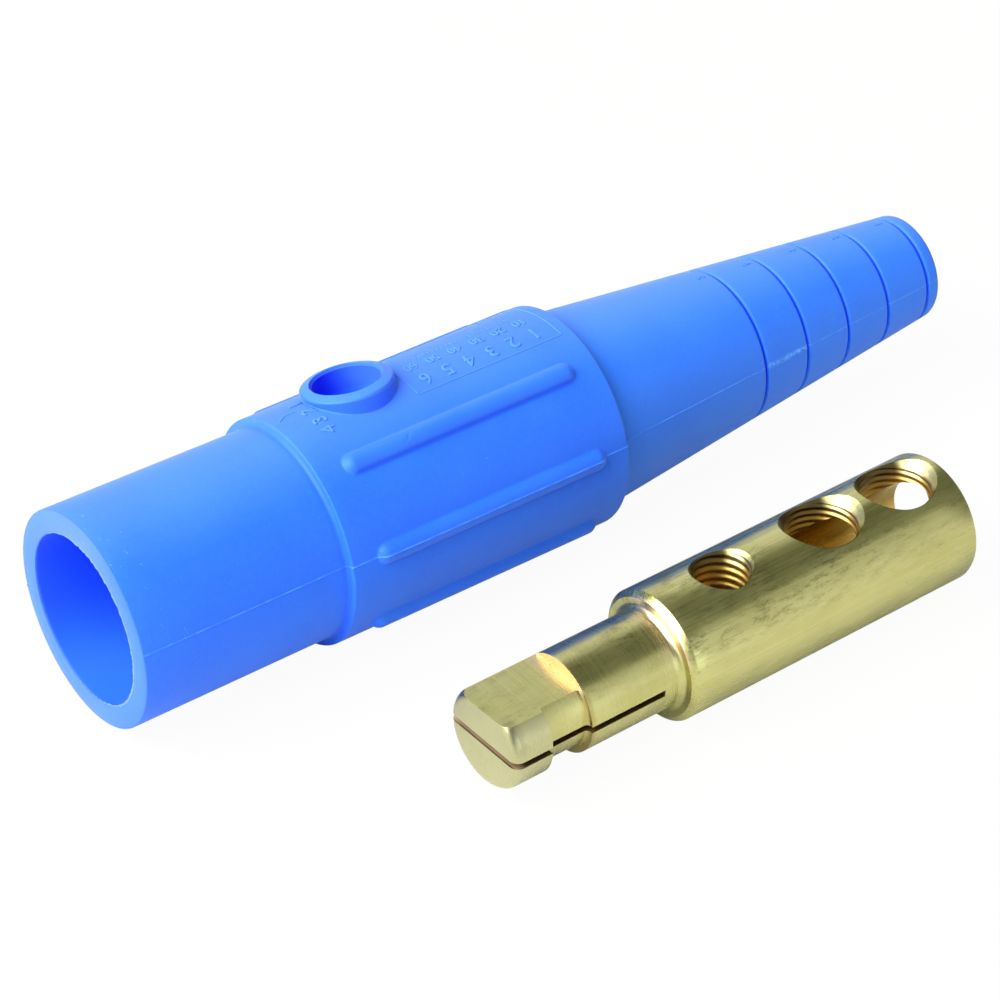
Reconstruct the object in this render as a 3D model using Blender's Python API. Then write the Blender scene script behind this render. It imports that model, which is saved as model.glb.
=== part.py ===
"""Cam-lock plug: a moulded rubber sleeve and the turned brass contact that goes inside it.

Both lie on one floor, side by side. Units are metres, +Z is up, the sleeve's axis runs along X
with its open mouth towards -X. The origin is the middle of the base of the bounding box.
"""
import math

import bmesh
import bpy
from mathutils import Matrix, Vector

MM = 0.001

# Contact, along its own axis from the shoulder, in millimetres
BODY_R = 12.7
SHOULDER = -0.45
SHOULDER_TO_SMALL_HOLE = 16.15
SMALL_HOLE_TO_FRONT_SCREW = 23.8
SCREW_SPACING = 18.3
REAR_SCREW_TO_END = 9.6
SMALL_HOLE_X = SHOULDER + SHOULDER_TO_SMALL_HOLE
FRONT_SCREW_X = SMALL_HOLE_X + SMALL_HOLE_TO_FRONT_SCREW
REAR_SCREW_X = FRONT_SCREW_X + SCREW_SPACING
BODY_END = REAR_SCREW_X + REAR_SCREW_TO_END
SHANK_R = 9.4
SHANK_LENGTH = 20.5
NECK_LENGTH = 8.65
HEAD_LENGTH = 8.05
SHANK_FRONT = SHOULDER - SHANK_LENGTH
HEAD_REAR = SHANK_FRONT - NECK_LENGTH
NOSE = HEAD_REAR - HEAD_LENGTH
NOSE_ROUNDING = 1.8
NECK_DEPTH = 0.75
NECK_OFFSET = (0.55, 0.6)
FLAT_DEPTH = 2.65
FLAT_HEIGHT = SHANK_R - FLAT_DEPTH
SLOT_WIDTH = 1.1
SLOT_TO_SHOULDER = 4.15
CABLE_BORE_R = 8.3
CABLE_BORE_LEAD = 1.1
CABLE_BORE_PAST_SCREW = 9.0
SCREW_HOLE_R = (6.95, 6.85)
SCREW_HOLE_RIM_R = (8.45, 8.2)
SCREW_HOLE_SLOPE = (0.707, 0.66)
SMALL_HOLE_R = 5.55
SMALL_HOLE_RIM_R = 6.15
SMALL_HOLE_SLOPE = 0.7
SMALL_HOLE_FLOOR = -1.0
CONTACT_SEGMENTS = 80

# Sleeve, along its own axis from the mouth, in millimetres
FRONT_LENGTH = 42.5
BARREL_LENGTH = 61.8
TAIL_LENGTH = 87.1
BARREL_FRONT = FRONT_LENGTH
BARREL_BACK = BARREL_FRONT + BARREL_LENGTH
SLEEVE_LENGTH = BARREL_BACK + TAIL_LENGTH
FRONT_R_MOUTH = 20.9
FRONT_R_STEP = 20.4
BARREL_R = 22.0
TAIL_R_START = 19.75
TAIL_R_END = 10.85
GROOVES_FROM_END = (48.6, 37.2, 25.8, 14.5, 3.1)
GROOVES = tuple(SLEEVE_LENGTH - d for d in GROOVES_FROM_END)
GROOVE_HALF_WIDTH = 0.42
GROOVE_DEPTH = 0.55
POCKET_CLEARANCE = 0.15
POCKET_R = BODY_R + POCKET_CLEARANCE
MOUTH_STEP = 3.55
MOUTH_BORE_R = POCKET_R + MOUTH_STEP
MOUTH_DEPTH = 44.2
SEAT_GAP = 0.5
POCKET_END_GAP = 0.3
SEATED_X = MOUTH_DEPTH + SEAT_GAP
POCKET_END = SEATED_X + BODY_END + POCKET_END_GAP
CABLE_BORE_R_FIRST_GROOVE = 11.4
CABLE_BORE_R_END = 6.1
RIB_ANGLES = (45.0, 90.0, 135.0, -45.0, -90.0, -135.0)
RIB_FROM_STEP = 5.2
RIB_FROM_REAR = 5.5
RIB_RADIUS = 2.2
RIB_HEIGHT = 1.45
COLLAR_X = SEATED_X + SMALL_HOLE_X
COLLAR_HEIGHT = 2.0
COLLAR_SLOPE_DROP = 0.8
COLLAR_TOP = BARREL_R + COLLAR_HEIGHT
COLLAR_EDGE = COLLAR_TOP - COLLAR_SLOPE_DROP
COLLAR_HOLE_R = 6.7
COLLAR_WALL = 2.2
COLLAR_R = COLLAR_HOLE_R + COLLAR_WALL
COLLAR_LEDGE_WIDTH = 0.3
COLLAR_LEDGE_DEPTH = 1.2
COLLAR_TILT = 1.8
COLLAR_ROOT = 5.0
SLEEVE_ROLL = -13.4
SLEEVE_SEGMENTS = 80

# Where the contact lies beside the sleeve
CONTACT_X = 80.55
CONTACT_GAP = 23.5
CONTACT_Y = -(BARREL_R + CONTACT_GAP + BODY_R)
CONTACT_YAW = 1.24


def clear_scene():
    for ob in list(bpy.data.objects):
        bpy.data.objects.remove(ob, do_unlink=True)


def new_object(name, bm):
    bmesh.ops.remove_doubles(bm, verts=bm.verts, dist=1e-7)
    bmesh.ops.recalc_face_normals(bm, faces=bm.faces)
    mesh = bpy.data.meshes.new(name)
    bm.to_mesh(mesh)
    bm.free()
    ob = bpy.data.objects.new(name, mesh)
    bpy.context.scene.collection.objects.link(ob)
    return ob


def revolve(name, profile, segments, axis="X", phase=0.0):
    """Close a loop of (along, radius) points, in millimetres, turned about X or Z."""
    bm = bmesh.new()
    rings = []
    for along, radius in profile:
        if radius < 1e-9:
            point = (along, 0, 0) if axis == "X" else (0, 0, along)
            rings.append([bm.verts.new(Vector(point) * MM)])
            continue
        ring = []
        for i in range(segments):
            a = 2 * math.pi * (i + phase) / segments
            u, v = radius * math.sin(a), radius * math.cos(a)
            point = (along, u, v) if axis == "X" else (v, u, along)
            ring.append(bm.verts.new(Vector(point) * MM))
        rings.append(ring)
    pairs = list(zip(rings, rings[1:]))
    if len(rings[0]) > 1 or len(rings[-1]) > 1:
        pairs.append((rings[-1], rings[0]))
    for one, two in pairs:
        for i in range(segments):
            j = (i + 1) % segments
            if len(one) == 1 and len(two) == 1:
                break
            if len(one) == 1:
                bm.faces.new((one[0], two[j], two[i]))
            elif len(two) == 1:
                bm.faces.new((one[i], one[j], two[0]))
            else:
                bm.faces.new((one[i], one[j], two[j], two[i]))
    return new_object(name, bm)


def box(name, low, high):
    bm = bmesh.new()
    bmesh.ops.create_cube(bm, size=1.0)
    size = [(h - l) * MM for l, h in zip(low, high)]
    middle = [(h + l) / 2 * MM for l, h in zip(low, high)]
    bmesh.ops.transform(bm, verts=bm.verts, matrix=Matrix.Translation(middle) @ Matrix.Diagonal((*size, 1)))
    return new_object(name, bm)


def arc(cx, cy, radius, start, end, steps):
    points = []
    for i in range(steps + 1):
        a = math.radians(start + (end - start) * i / steps)
        points.append((cx + radius * math.cos(a), cy + radius * math.sin(a)))
    return points


def combine(target, tools, operation):
    """Apply one exact Boolean per tool, then remove the tools."""
    for tool in tools:
        tool.hide_render = True
        tool.display_type = "WIRE"
        mod = target.modifiers.new(operation.lower(), "BOOLEAN")
        mod.operation = operation
        mod.solver = "EXACT"
        mod.object = tool
    graph = bpy.context.evaluated_depsgraph_get()
    mesh = bpy.data.meshes.new_from_object(target.evaluated_get(graph))
    target.modifiers.clear()
    target.data = mesh
    for tool in tools:
        bpy.data.objects.remove(tool, do_unlink=True)


def transform(ob, matrix):
    ob.data.transform(matrix)
    ob.data.update()


def finish_mesh(ob, material_name, colour, metallic, roughness, angle):
    bm = bmesh.new()
    bm.from_mesh(ob.data)
    bmesh.ops.remove_doubles(bm, verts=bm.verts, dist=2e-6)
    bmesh.ops.dissolve_degenerate(bm, edges=bm.edges, dist=2e-6)
    bmesh.ops.triangulate(bm, faces=[f for f in bm.faces if len(f.verts) > 4])
    bmesh.ops.recalc_face_normals(bm, faces=bm.faces)
    bm.to_mesh(ob.data)
    bm.free()
    for polygon in ob.data.polygons:
        polygon.use_smooth = True
    ob.data.set_sharp_from_angle(angle=math.radians(angle))
    material = bpy.data.materials.new(material_name)
    material.use_nodes = True
    shader = material.node_tree.nodes["Principled BSDF"]
    shader.inputs["Base Color"].default_value = (*colour, 1)
    shader.inputs["Metallic"].default_value = metallic
    shader.inputs["Roughness"].default_value = roughness
    ob.data.materials.clear()
    ob.data.materials.append(material)


def tail_radius(x):
    share = (x - BARREL_BACK) / (SLEEVE_LENGTH - BARREL_BACK)
    return TAIL_R_START + (TAIL_R_END - TAIL_R_START) * share


def sleeve_profile():
    outer = [(0.0, FRONT_R_MOUTH - 0.3), (0.1, FRONT_R_MOUTH - 0.08), (0.35, FRONT_R_MOUTH)]
    outer += [(BARREL_FRONT - 0.6, FRONT_R_STEP), (BARREL_FRONT - 0.2, FRONT_R_STEP + 0.12),
              (BARREL_FRONT, FRONT_R_STEP + 0.45)]
    outer += arc(BARREL_FRONT + 0.75, BARREL_R - 0.75, 0.75, 180, 90, 4)
    outer += arc(BARREL_BACK - 1.5, BARREL_R - 1.5, 1.5, 90, 0, 5)
    outer += [(BARREL_BACK + 0.15, TAIL_R_START + 0.2), (BARREL_BACK + 0.6, tail_radius(BARREL_BACK + 0.6))]
    for g in GROOVES:
        outer += [(g - GROOVE_HALF_WIDTH, tail_radius(g - GROOVE_HALF_WIDTH)),
                  (g - 0.12, tail_radius(g) - GROOVE_DEPTH),
                  (g + 0.12, tail_radius(g) - GROOVE_DEPTH),
                  (g + GROOVE_HALF_WIDTH, tail_radius(g + GROOVE_HALF_WIDTH))]
    outer += [(SLEEVE_LENGTH - 0.5, tail_radius(SLEEVE_LENGTH - 0.5)),
              (SLEEVE_LENGTH - 0.15, TAIL_R_END - 0.12), (SLEEVE_LENGTH, TAIL_R_END - 0.45)]
    inner = [(SLEEVE_LENGTH, CABLE_BORE_R_END), (GROOVES[0], CABLE_BORE_R_FIRST_GROOVE),
             (POCKET_END + 1.2, POCKET_R - 0.6), (POCKET_END, POCKET_R), (MOUTH_DEPTH, POCKET_R),
             (MOUTH_DEPTH, MOUTH_BORE_R - 0.7), (MOUTH_DEPTH - 0.6, MOUTH_BORE_R - 0.1),
             (0.0, MOUTH_BORE_R)]
    return outer + inner


def rib(index, angle):
    """A rod with ball ends, sunk in the barrel so that a half-round stands out."""
    bm = bmesh.new()
    steps, sides = 4, 16
    rings = []
    ball = RIB_RADIUS - 0.15
    for end, x in ((-1, BARREL_FRONT + RIB_FROM_STEP + ball), (1, BARREL_BACK - RIB_FROM_REAR - ball)):
        order = range(steps, -1, -1) if end < 0 else range(0, steps + 1)
        for k in order:
            t = math.pi / 2 * k / steps
            along, radius = x + end * RIB_RADIUS * math.sin(t), RIB_RADIUS * math.cos(t)
            if k == steps:
                rings.append([bm.verts.new(Vector((along, 0, 0)) * MM)])
            else:
                rings.append([bm.verts.new(Vector((along, radius * math.sin(2 * math.pi * i / sides),
                                                   radius * math.cos(2 * math.pi * i / sides))) * MM)
                              for i in range(sides)])
    for one, two in zip(rings, rings[1:]):
        for i in range(sides):
            j = (i + 1) % sides
            if len(one) == 1:
                bm.faces.new((one[0], two[j], two[i]))
            elif len(two) == 1:
                bm.faces.new((one[i], one[j], two[0]))
            else:
                bm.faces.new((one[i], one[j], two[j], two[i]))
    ob = new_object("rib_%d" % index, bm)
    lift = Matrix.Translation((0, 0, (BARREL_R + RIB_HEIGHT - RIB_RADIUS) * MM))
    # A positive angle is measured from the collar towards the contact
    transform(ob, Matrix.Rotation(math.radians(angle), 4, "X") @ lift)
    return ob


def build_sleeve():
    sleeve = revolve("insulating_sleeve", sleeve_profile(), SLEEVE_SEGMENTS, phase=0.37)
    slope = (COLLAR_TOP - COLLAR_EDGE) / (COLLAR_R - COLLAR_HOLE_R)
    root = BARREL_R - COLLAR_ROOT
    ring = revolve("collar", [(root, 0.0), (root, COLLAR_R), (COLLAR_EDGE - 0.6, COLLAR_R),
                              (COLLAR_EDGE - 0.2, COLLAR_R - 0.08),
                              (COLLAR_EDGE + slope * 0.35, COLLAR_R - 0.35), (COLLAR_TOP, COLLAR_HOLE_R),
                              (COLLAR_TOP + slope * 1.0, COLLAR_HOLE_R - 1.0),
                              (COLLAR_TOP + slope * 1.0, 0.0)], 64, axis="Z", phase=0.21)
    # The ring leans a little towards the mouth, tail side up
    seat = (Matrix.Translation((COLLAR_X * MM, 0, COLLAR_TOP * MM)) @ Matrix.Rotation(math.radians(-COLLAR_TILT), 4, "Y")
            @ Matrix.Translation((0, 0, -COLLAR_TOP * MM)))
    transform(ring, seat)
    combine(sleeve, [ring], "UNION")
    combine(sleeve, [rib(i, a) for i, a in enumerate(RIB_ANGLES)], "UNION")
    ledge = COLLAR_TOP - COLLAR_LEDGE_DEPTH
    inside, above = POCKET_R - 4.85, COLLAR_TOP + 6.0
    ledge_r = COLLAR_HOLE_R - COLLAR_LEDGE_WIDTH
    hole = revolve("collar_hole", [(inside, 0.0), (inside, ledge_r), (ledge, ledge_r),
                                   (ledge, COLLAR_HOLE_R), (COLLAR_TOP - 0.3, COLLAR_HOLE_R),
                                   (COLLAR_TOP + 0.3, COLLAR_HOLE_R + 0.35), (above, COLLAR_HOLE_R + 0.35),
                                   (above, 0.0)], 56, axis="Z", phase=0.43)
    transform(hole, seat)
    combine(sleeve, [hole], "DIFFERENCE")
    return sleeve


def contact_profile():
    n = NOSE_ROUNDING
    points = [(NOSE, 0.0)]
    points += arc(NOSE + n, SHANK_R - n, n, 180, 90, 5)
    fillet = min(1.0, (BODY_R - 0.85 - SHANK_R) * 0.8)
    points += [(SHOULDER - 1.4, SHANK_R), (SHOULDER - 0.9, SHANK_R + 0.1 * fillet),
               (SHOULDER - 0.4, SHANK_R + 0.4 * fillet), (SHOULDER, SHANK_R + fillet)]
    points += [(SHOULDER, BODY_R - 0.85), (SHOULDER + 0.85, BODY_R), (BODY_END - 0.4, BODY_R), (BODY_END, BODY_R - 0.4)]
    points += [(BODY_END, 0.0)]
    return points


def hole_tool(name, x, radius, rim, slope, floor):
    """A drill with a countersink that opens to the rim radius at the top of the body."""
    start = BODY_R - (rim - radius) / slope
    above = BODY_R + 4.0
    tool = revolve(name, [(floor - radius * 0.5, 0.0), (floor, radius), (start, radius),
                          (above, radius + (above - start) * slope), (above, 0.0)], 56, axis="Z", phase=0.31)
    transform(tool, Matrix.Translation((x * MM, 0, 0)))
    return tool


def build_contact():
    contact = revolve("male_contact", contact_profile(), CONTACT_SEGMENTS, phase=0.5)
    bore_start = FRONT_SCREW_X - CABLE_BORE_PAST_SCREW
    bore = revolve("cable_bore", [(bore_start - 4.0, 0.0), (bore_start, CABLE_BORE_R),
                                  (BODY_END - CABLE_BORE_LEAD, CABLE_BORE_R),
                                  (BODY_END + 2.0, CABLE_BORE_R + CABLE_BORE_LEAD + 2.0),
                                  (BODY_END + 2.0, 0.0)], 64, phase=0.23)
    combine(contact, [bore], "DIFFERENCE")
    screws = zip((FRONT_SCREW_X, REAR_SCREW_X), SCREW_HOLE_R, SCREW_HOLE_RIM_R, SCREW_HOLE_SLOPE)
    tools = [hole_tool("screw_hole_%d" % i, x, r, rim, slope, 0.0)
             for i, (x, r, rim, slope) in enumerate(screws)]
    tools.append(hole_tool("small_hole", SMALL_HOLE_X, SMALL_HOLE_R, SMALL_HOLE_RIM_R, SMALL_HOLE_SLOPE,
                           SMALL_HOLE_FLOOR))
    combine(contact, tools, "DIFFERENCE")
    reach = SHANK_R + 2.6
    flat = box("flat", (NOSE - 3, -reach, FLAT_HEIGHT), (SHANK_FRONT, reach, reach + 2.0))
    combine(contact, [flat], "DIFFERENCE")
    # The neck is a groove turned off centre, so it fades out at the far edge of the flat
    neck, outside = SHANK_R - NECK_DEPTH, SHANK_R + 4.6
    groove = revolve("neck_groove", [(HEAD_REAR, neck + 0.45), (HEAD_REAR + 0.12, neck + 0.12),
                                     (HEAD_REAR + 0.45, neck), (SHANK_FRONT - 0.9, neck),
                                     (SHANK_FRONT - 0.3, neck + 0.2), (SHANK_FRONT, neck + 0.75),
                                     (SHANK_FRONT, outside), (HEAD_REAR, outside)], 72, phase=0.27)
    transform(groove, Matrix.Translation((0, NECK_OFFSET[0] * MM, NECK_OFFSET[1] * MM)))
    combine(contact, [groove], "DIFFERENCE")
    reach = BODY_R + 1.3
    slot = box("slot", (NOSE - 3, -reach, -SLOT_WIDTH / 2), (SHOULDER - SLOT_TO_SHOULDER, reach, SLOT_WIDTH / 2))
    combine(contact, [slot], "DIFFERENCE")
    return contact


def bounds(objects):
    low, high = [1e9] * 3, [-1e9] * 3
    for ob in objects:
        for v in ob.data.vertices:
            for k in range(3):
                low[k], high[k] = min(low[k], v.co[k]), max(high[k], v.co[k])
    return low, high


def main():
    clear_scene()
    sleeve = build_sleeve()
    contact = build_contact()
    finish_mesh(sleeve, "sleeve_rubber", (0.055, 0.22, 0.78), 0.0, 0.5, 32)
    finish_mesh(contact, "contact_brass", (0.62, 0.54, 0.33), 1.0, 0.32, 32)
    transform(sleeve, Matrix.Translation((0, 0, BARREL_R * MM)) @ Matrix.Rotation(math.radians(SLEEVE_ROLL), 4, "X"))
    transform(contact, Matrix.Translation((CONTACT_X * MM, CONTACT_Y * MM, BODY_R * MM))
              @ Matrix.Rotation(math.radians(CONTACT_YAW), 4, "Z"))
    low, high = bounds([sleeve, contact])
    shift = Matrix.Translation((-(low[0] + high[0]) / 2, -(low[1] + high[1]) / 2, 0))
    for ob in (sleeve, contact):
        transform(ob, shift)
        base = min(v.co.z for v in ob.data.vertices)
        transform(ob, Matrix.Translation((0, 0, -base)))


main()
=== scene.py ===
# %% [markdown]
# # A cam-lock plug: blue moulded sleeve and turned brass contact
# The real thing is a single-pole power plug before it is put together. A blue rubber sleeve lies
# beside the brass contact that goes inside it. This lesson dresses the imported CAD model: both CAD
# shapes are rebuilt with finer meshes in the same places, then they get marks, finishes and light.

# %% Load the frame
import math

import bmesh
import bpy
from mathutils import Matrix, Vector, noise


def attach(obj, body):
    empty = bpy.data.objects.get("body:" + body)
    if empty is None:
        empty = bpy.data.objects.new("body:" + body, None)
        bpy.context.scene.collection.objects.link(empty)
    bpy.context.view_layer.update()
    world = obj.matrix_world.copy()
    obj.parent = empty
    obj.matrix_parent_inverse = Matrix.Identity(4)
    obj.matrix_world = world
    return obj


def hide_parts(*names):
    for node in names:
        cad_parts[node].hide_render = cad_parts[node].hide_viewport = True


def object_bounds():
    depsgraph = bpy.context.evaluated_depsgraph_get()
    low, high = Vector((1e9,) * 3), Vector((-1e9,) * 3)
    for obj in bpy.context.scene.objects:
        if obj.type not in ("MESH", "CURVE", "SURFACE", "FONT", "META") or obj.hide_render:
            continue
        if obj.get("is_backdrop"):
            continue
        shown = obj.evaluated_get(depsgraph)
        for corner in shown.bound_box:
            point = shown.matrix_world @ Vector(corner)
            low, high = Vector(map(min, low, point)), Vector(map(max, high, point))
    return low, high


MM = 0.001
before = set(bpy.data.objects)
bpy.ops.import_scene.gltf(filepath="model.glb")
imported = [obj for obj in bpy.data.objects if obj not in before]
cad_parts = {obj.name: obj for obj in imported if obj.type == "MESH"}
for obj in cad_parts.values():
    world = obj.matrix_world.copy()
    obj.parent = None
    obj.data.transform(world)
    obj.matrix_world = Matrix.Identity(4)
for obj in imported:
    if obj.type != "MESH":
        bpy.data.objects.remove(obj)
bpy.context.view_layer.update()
print("CAD nodes:", sorted(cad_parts))

# %% [markdown]
# ## Two workbenches
# Both pieces are turned shapes that lie at an angle, so each is built along its own X axis in
# millimetres, where every measure is a plain number. One matrix per piece then carries the finished
# mesh to its place in the row frame. The sleeve is rolled 13.4 degrees away from the camera, and
# the contact is turned 1.24 degrees on the floor.

# %% Where each workbench stands
SLEEVE_ROLL = math.radians(-13.4)
SLEEVE_CORNER = Vector((-95.7, 24.017, 22.0)) * MM
SLEEVE_PLACE = (Matrix.Translation(SLEEVE_CORNER) @ Matrix.Rotation(SLEEVE_ROLL, 4, "X")
                @ Matrix.Scale(MM, 4))
CONTACT_YAW = math.radians(1.24)
CONTACT_CORNER = Vector((-15.15, -34.183, 12.7)) * MM
CONTACT_PLACE = (Matrix.Translation(CONTACT_CORNER) @ Matrix.Rotation(CONTACT_YAW, 4, "Z")
                 @ Matrix.Scale(MM, 4))


def object_from(bm, name):
    mesh = bpy.data.meshes.new(name)
    bm.to_mesh(mesh)
    bm.free()
    ob = bpy.data.objects.new(name, mesh)
    bpy.context.scene.collection.objects.link(ob)
    return ob


def put_in_place(ob, place, sharp_degrees=34):
    """Carry a finished piece from its workbench to the row frame and smooth its curved faces."""
    ob.data.transform(place)
    ob.data.shade_smooth()
    ob.data.set_sharp_from_angle(angle=math.radians(sharp_degrees))
    print("%s: %d faces" % (ob.name, len(ob.data.polygons)))
    return ob


def baked(ob):
    """Replace an object's mesh by what its modifiers make of it."""
    graph = bpy.context.evaluated_depsgraph_get()
    mesh = bpy.data.meshes.new_from_object(ob.evaluated_get(graph))
    ob.modifiers.clear()
    ob.data = mesh
    return ob


def cut_or_join(target, tool, operation):
    """Cut a tool out of the target or join it on, and say whether the mesh is still closed."""
    mod = target.modifiers.new(operation.lower(), "BOOLEAN")
    mod.operation = operation
    mod.solver = "EXACT"
    mod.object = tool
    baked(target)
    check = bmesh.new()
    check.from_mesh(target.data)
    print("%s %s: %d faces, %d open edges" % (operation.lower(), tool.name, len(check.faces),
                                              sum(not e.is_manifold for e in check.edges)))
    check.free()
    bpy.data.objects.remove(tool, do_unlink=True)
    return target


# %% [markdown]
# ## Turning a profile
# A lathe makes a shape from one line. In Blender the line is a wire of vertices and edges, and
# bmesh.ops.spin sweeps it round the axis. Spinning in several sectors lets the steps be fine where
# something small stands on the surface, and coarse elsewhere.

# %% The lathe
def wire(bm, points, closed, axis="X"):
    """Join (along, radius) points, in millimetres, into one line beside the axis."""
    verts = [bm.verts.new((a, 0, r) if axis == "X" else (r, 0, a)) for a, r in points]
    ends = verts[1:] + verts[:1] if closed else verts[1:]
    return verts + [bm.edges.new(pair) for pair in zip(verts, ends)]


def lathe(bm, geom, sectors, axis="X"):
    """Sweep a wire round the axis. Each sector is (degrees, steps)."""
    direction = (1, 0, 0) if axis == "X" else (0, 0, 1)
    for degrees, steps in sectors:
        swept = bmesh.ops.spin(bm, geom=geom, cent=(0, 0, 0), axis=direction, steps=steps,
                               angle=math.radians(degrees), use_merge=False, use_duplicate=False)
        geom = swept["geom_last"]
    bmesh.ops.remove_doubles(bm, verts=bm.verts, dist=2e-3)
    bmesh.ops.dissolve_degenerate(bm, edges=bm.edges, dist=1e-5)
    bmesh.ops.recalc_face_normals(bm, faces=bm.faces)


def turned(name, points, steps, closed=False, axis="X"):
    bm = bmesh.new()
    lathe(bm, wire(bm, points, closed, axis), [(360, steps)], axis)
    return object_from(bm, name)


def arc(x, y, radius, start, end, steps):
    angles = [math.radians(start + (end - start) * i / steps) for i in range(steps + 1)]
    return [(x + radius * math.cos(a), y + radius * math.sin(a)) for a in angles]


def spread(start, end, pieces):
    return [start + (end - start) * i / pieces for i in range(pieces + 1)]


# %% [markdown]
# ## The sleeve's outline
# The sleeve is moulded in one piece: a plain front, a fatter barrel with six ribs and a screw
# collar, and a long tapered tail with five cutting grooves. The inside follows the CAD: a wide
# mouth, a pocket for the contact and a narrowing cable bore. All lengths are from the mouth.

# %% Outline of the sleeve
FRONT_R_MOUTH, FRONT_R_STEP = 20.68, 20.4
BARREL_FRONT, BARREL_BACK, BARREL_R = 42.5, 104.3, 22.0
TAIL_R_START, TAIL_R_END, SLEEVE_LENGTH = 19.75, 10.85, 191.4
GROOVES = (142.8, 154.2, 165.6, 176.9, 188.3)
MOUTH_BORE_R, MOUTH_DEPTH, POCKET_R, POCKET_END = 16.4, 44.2, 12.85, 112.4
RIB_ENDS = (50.0, 96.75)
STEP_FILLET, STEP_CORNER, REAR_ROUNDING = 0.9, 0.2, 0.5

# Rows of vertices on the barrel, each (from, to, pieces): fine at the ribs' ends and at the nick.
BARREL_ROWS = ((47.1, 51.5, 18), (53.5, 57.5, 2), (59.4, 63.0, 18), (65.5, 93.5, 14), (95.0, 99.4, 18))

# Half of a cutting groove, each (off its middle, depth).
GROOVE_WALL = ((1.0, 0.0), (0.62, 0.0), (0.5, 0.05), (0.3, 0.45), (0.14, 0.75))


def tail_radius(x):
    share = (x - BARREL_BACK) / (SLEEVE_LENGTH - BARREL_BACK)
    return TAIL_R_START + (TAIL_R_END - TAIL_R_START) * share


def sleeve_radius(x):
    """Radius of the plain outside, without ribs and grooves."""
    if x < BARREL_FRONT:
        return FRONT_R_MOUTH + (FRONT_R_STEP - FRONT_R_MOUTH) * x / BARREL_FRONT
    return BARREL_R if x < BARREL_BACK else tail_radius(x)


outside = [(0.0, FRONT_R_MOUTH - 0.3), (0.04, FRONT_R_MOUTH - 0.14), (0.15, FRONT_R_MOUTH - 0.04),
           (0.35, FRONT_R_MOUTH)]
outside += [(x, sleeve_radius(x)) for x in spread(4, 40, 9)]
outside += arc(BARREL_FRONT - STEP_FILLET, FRONT_R_STEP + STEP_FILLET, STEP_FILLET, -90, 0, 8)
outside += arc(BARREL_FRONT + STEP_CORNER, BARREL_R - STEP_CORNER, STEP_CORNER, 180, 90, 5)
outside += [(45.0, BARREL_R), (46.4, BARREL_R)]
for row in BARREL_ROWS:
    outside += [(x, BARREL_R) for x in spread(*row)]
outside += [(102.0, BARREL_R)]
outside += arc(BARREL_BACK - REAR_ROUNDING, BARREL_R - REAR_ROUNDING, REAR_ROUNDING, 90, 0, 7)
outside += [(BARREL_BACK + 0.02, TAIL_R_START + 0.35), (BARREL_BACK + 0.15, TAIL_R_START + 0.12),
            (BARREL_BACK + 0.5, tail_radius(BARREL_BACK + 0.5))]
outside += [(x, tail_radius(x)) for x in spread(108, 141, 9)]
for g in GROOVES:
    outside += [(g - off, tail_radius(g - off) - depth) for off, depth in GROOVE_WALL]
    outside += [(g + off, tail_radius(g + off) - depth) for off, depth in reversed(GROOVE_WALL)]
outside += [(SLEEVE_LENGTH - 0.5, tail_radius(SLEEVE_LENGTH - 0.5)),
            (SLEEVE_LENGTH - 0.15, TAIL_R_END - 0.1),
            (SLEEVE_LENGTH - 0.03, TAIL_R_END - 0.24), (SLEEVE_LENGTH, TAIL_R_END - 0.45)]
inside = [(SLEEVE_LENGTH, 6.1), (167.0, 8.76), (GROOVES[0], 11.4), (POCKET_END + 1.2, POCKET_R - 0.6),
          (POCKET_END, POCKET_R), (78.0, POCKET_R), (MOUTH_DEPTH, POCKET_R),
          (MOUTH_DEPTH, MOUTH_BORE_R - 0.7), (MOUTH_DEPTH - 0.2, MOUTH_BORE_R - 0.3),
          (MOUTH_DEPTH - 0.6, MOUTH_BORE_R - 0.1), (22.0, MOUTH_BORE_R), (0.2, MOUTH_BORE_R),
          (0.06, MOUTH_BORE_R + 0.05), (0.0, MOUTH_BORE_R + 0.19)]
print("sleeve outline: %d points" % len(outside + inside))

# %% Spin it, finer where the ribs will stand
RIB_ANGLES = (44.5, 90, 135, 225, 270, 315)
coarse, fine = (27, 18), (18, 36)
half_turn = [(36, 24), fine, coarse, fine, coarse, fine, (36, 24)]
sleeve_mesh = bmesh.new()
lathe(sleeve_mesh, wire(sleeve_mesh, outside + inside, closed=True), half_turn + half_turn)
print("sleeve blank: %d faces" % len(sleeve_mesh.faces))

# %% [markdown]
# ## Ribs that grow out of the barrel
# On the real part each grip rib runs softly into the barrel, because the mould has small fillets. A
# Boolean would leave a hard line. Here each vertex near a rib is moved outwards to where a smooth
# blend of the barrel and a rod with ball ends has its surface, found by halving an interval. The first
# rib also gets a small crease across it, as if something had pressed on it.

# %% Raise the ribs
RIB_RADIUS, RIB_HEIGHT, RIB_BLEND = 2.2, 1.45, 0.25
RIB_ZONE, RIB_REACH, HALVINGS = (46.5, 100.0), 9.5, 16

# The crease runs from one (place along, degrees) to the other.
(NICK_X, NICK_START), (NICK_END_X, NICK_END) = (62.4, 41.0), (60.1, 47.2)
NICK_DEPTH, NICK_HALF_WIDTH = 0.16, 0.32


def blend_distance(x, across, out):
    """Distance to the barrel and the rod, joined smoothly. Below zero is inside."""
    beyond = max(RIB_ENDS[0] - x, x - RIB_ENDS[1], 0.0)
    rod = math.hypot(beyond, across, out - (BARREL_R + RIB_HEIGHT - RIB_RADIUS)) - RIB_RADIUS
    barrel = math.hypot(across, out) - BARREL_R
    near = max(RIB_BLEND - abs(rod - barrel), 0.0) / RIB_BLEND
    return min(rod, barrel) - near * near * RIB_BLEND / 4


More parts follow.
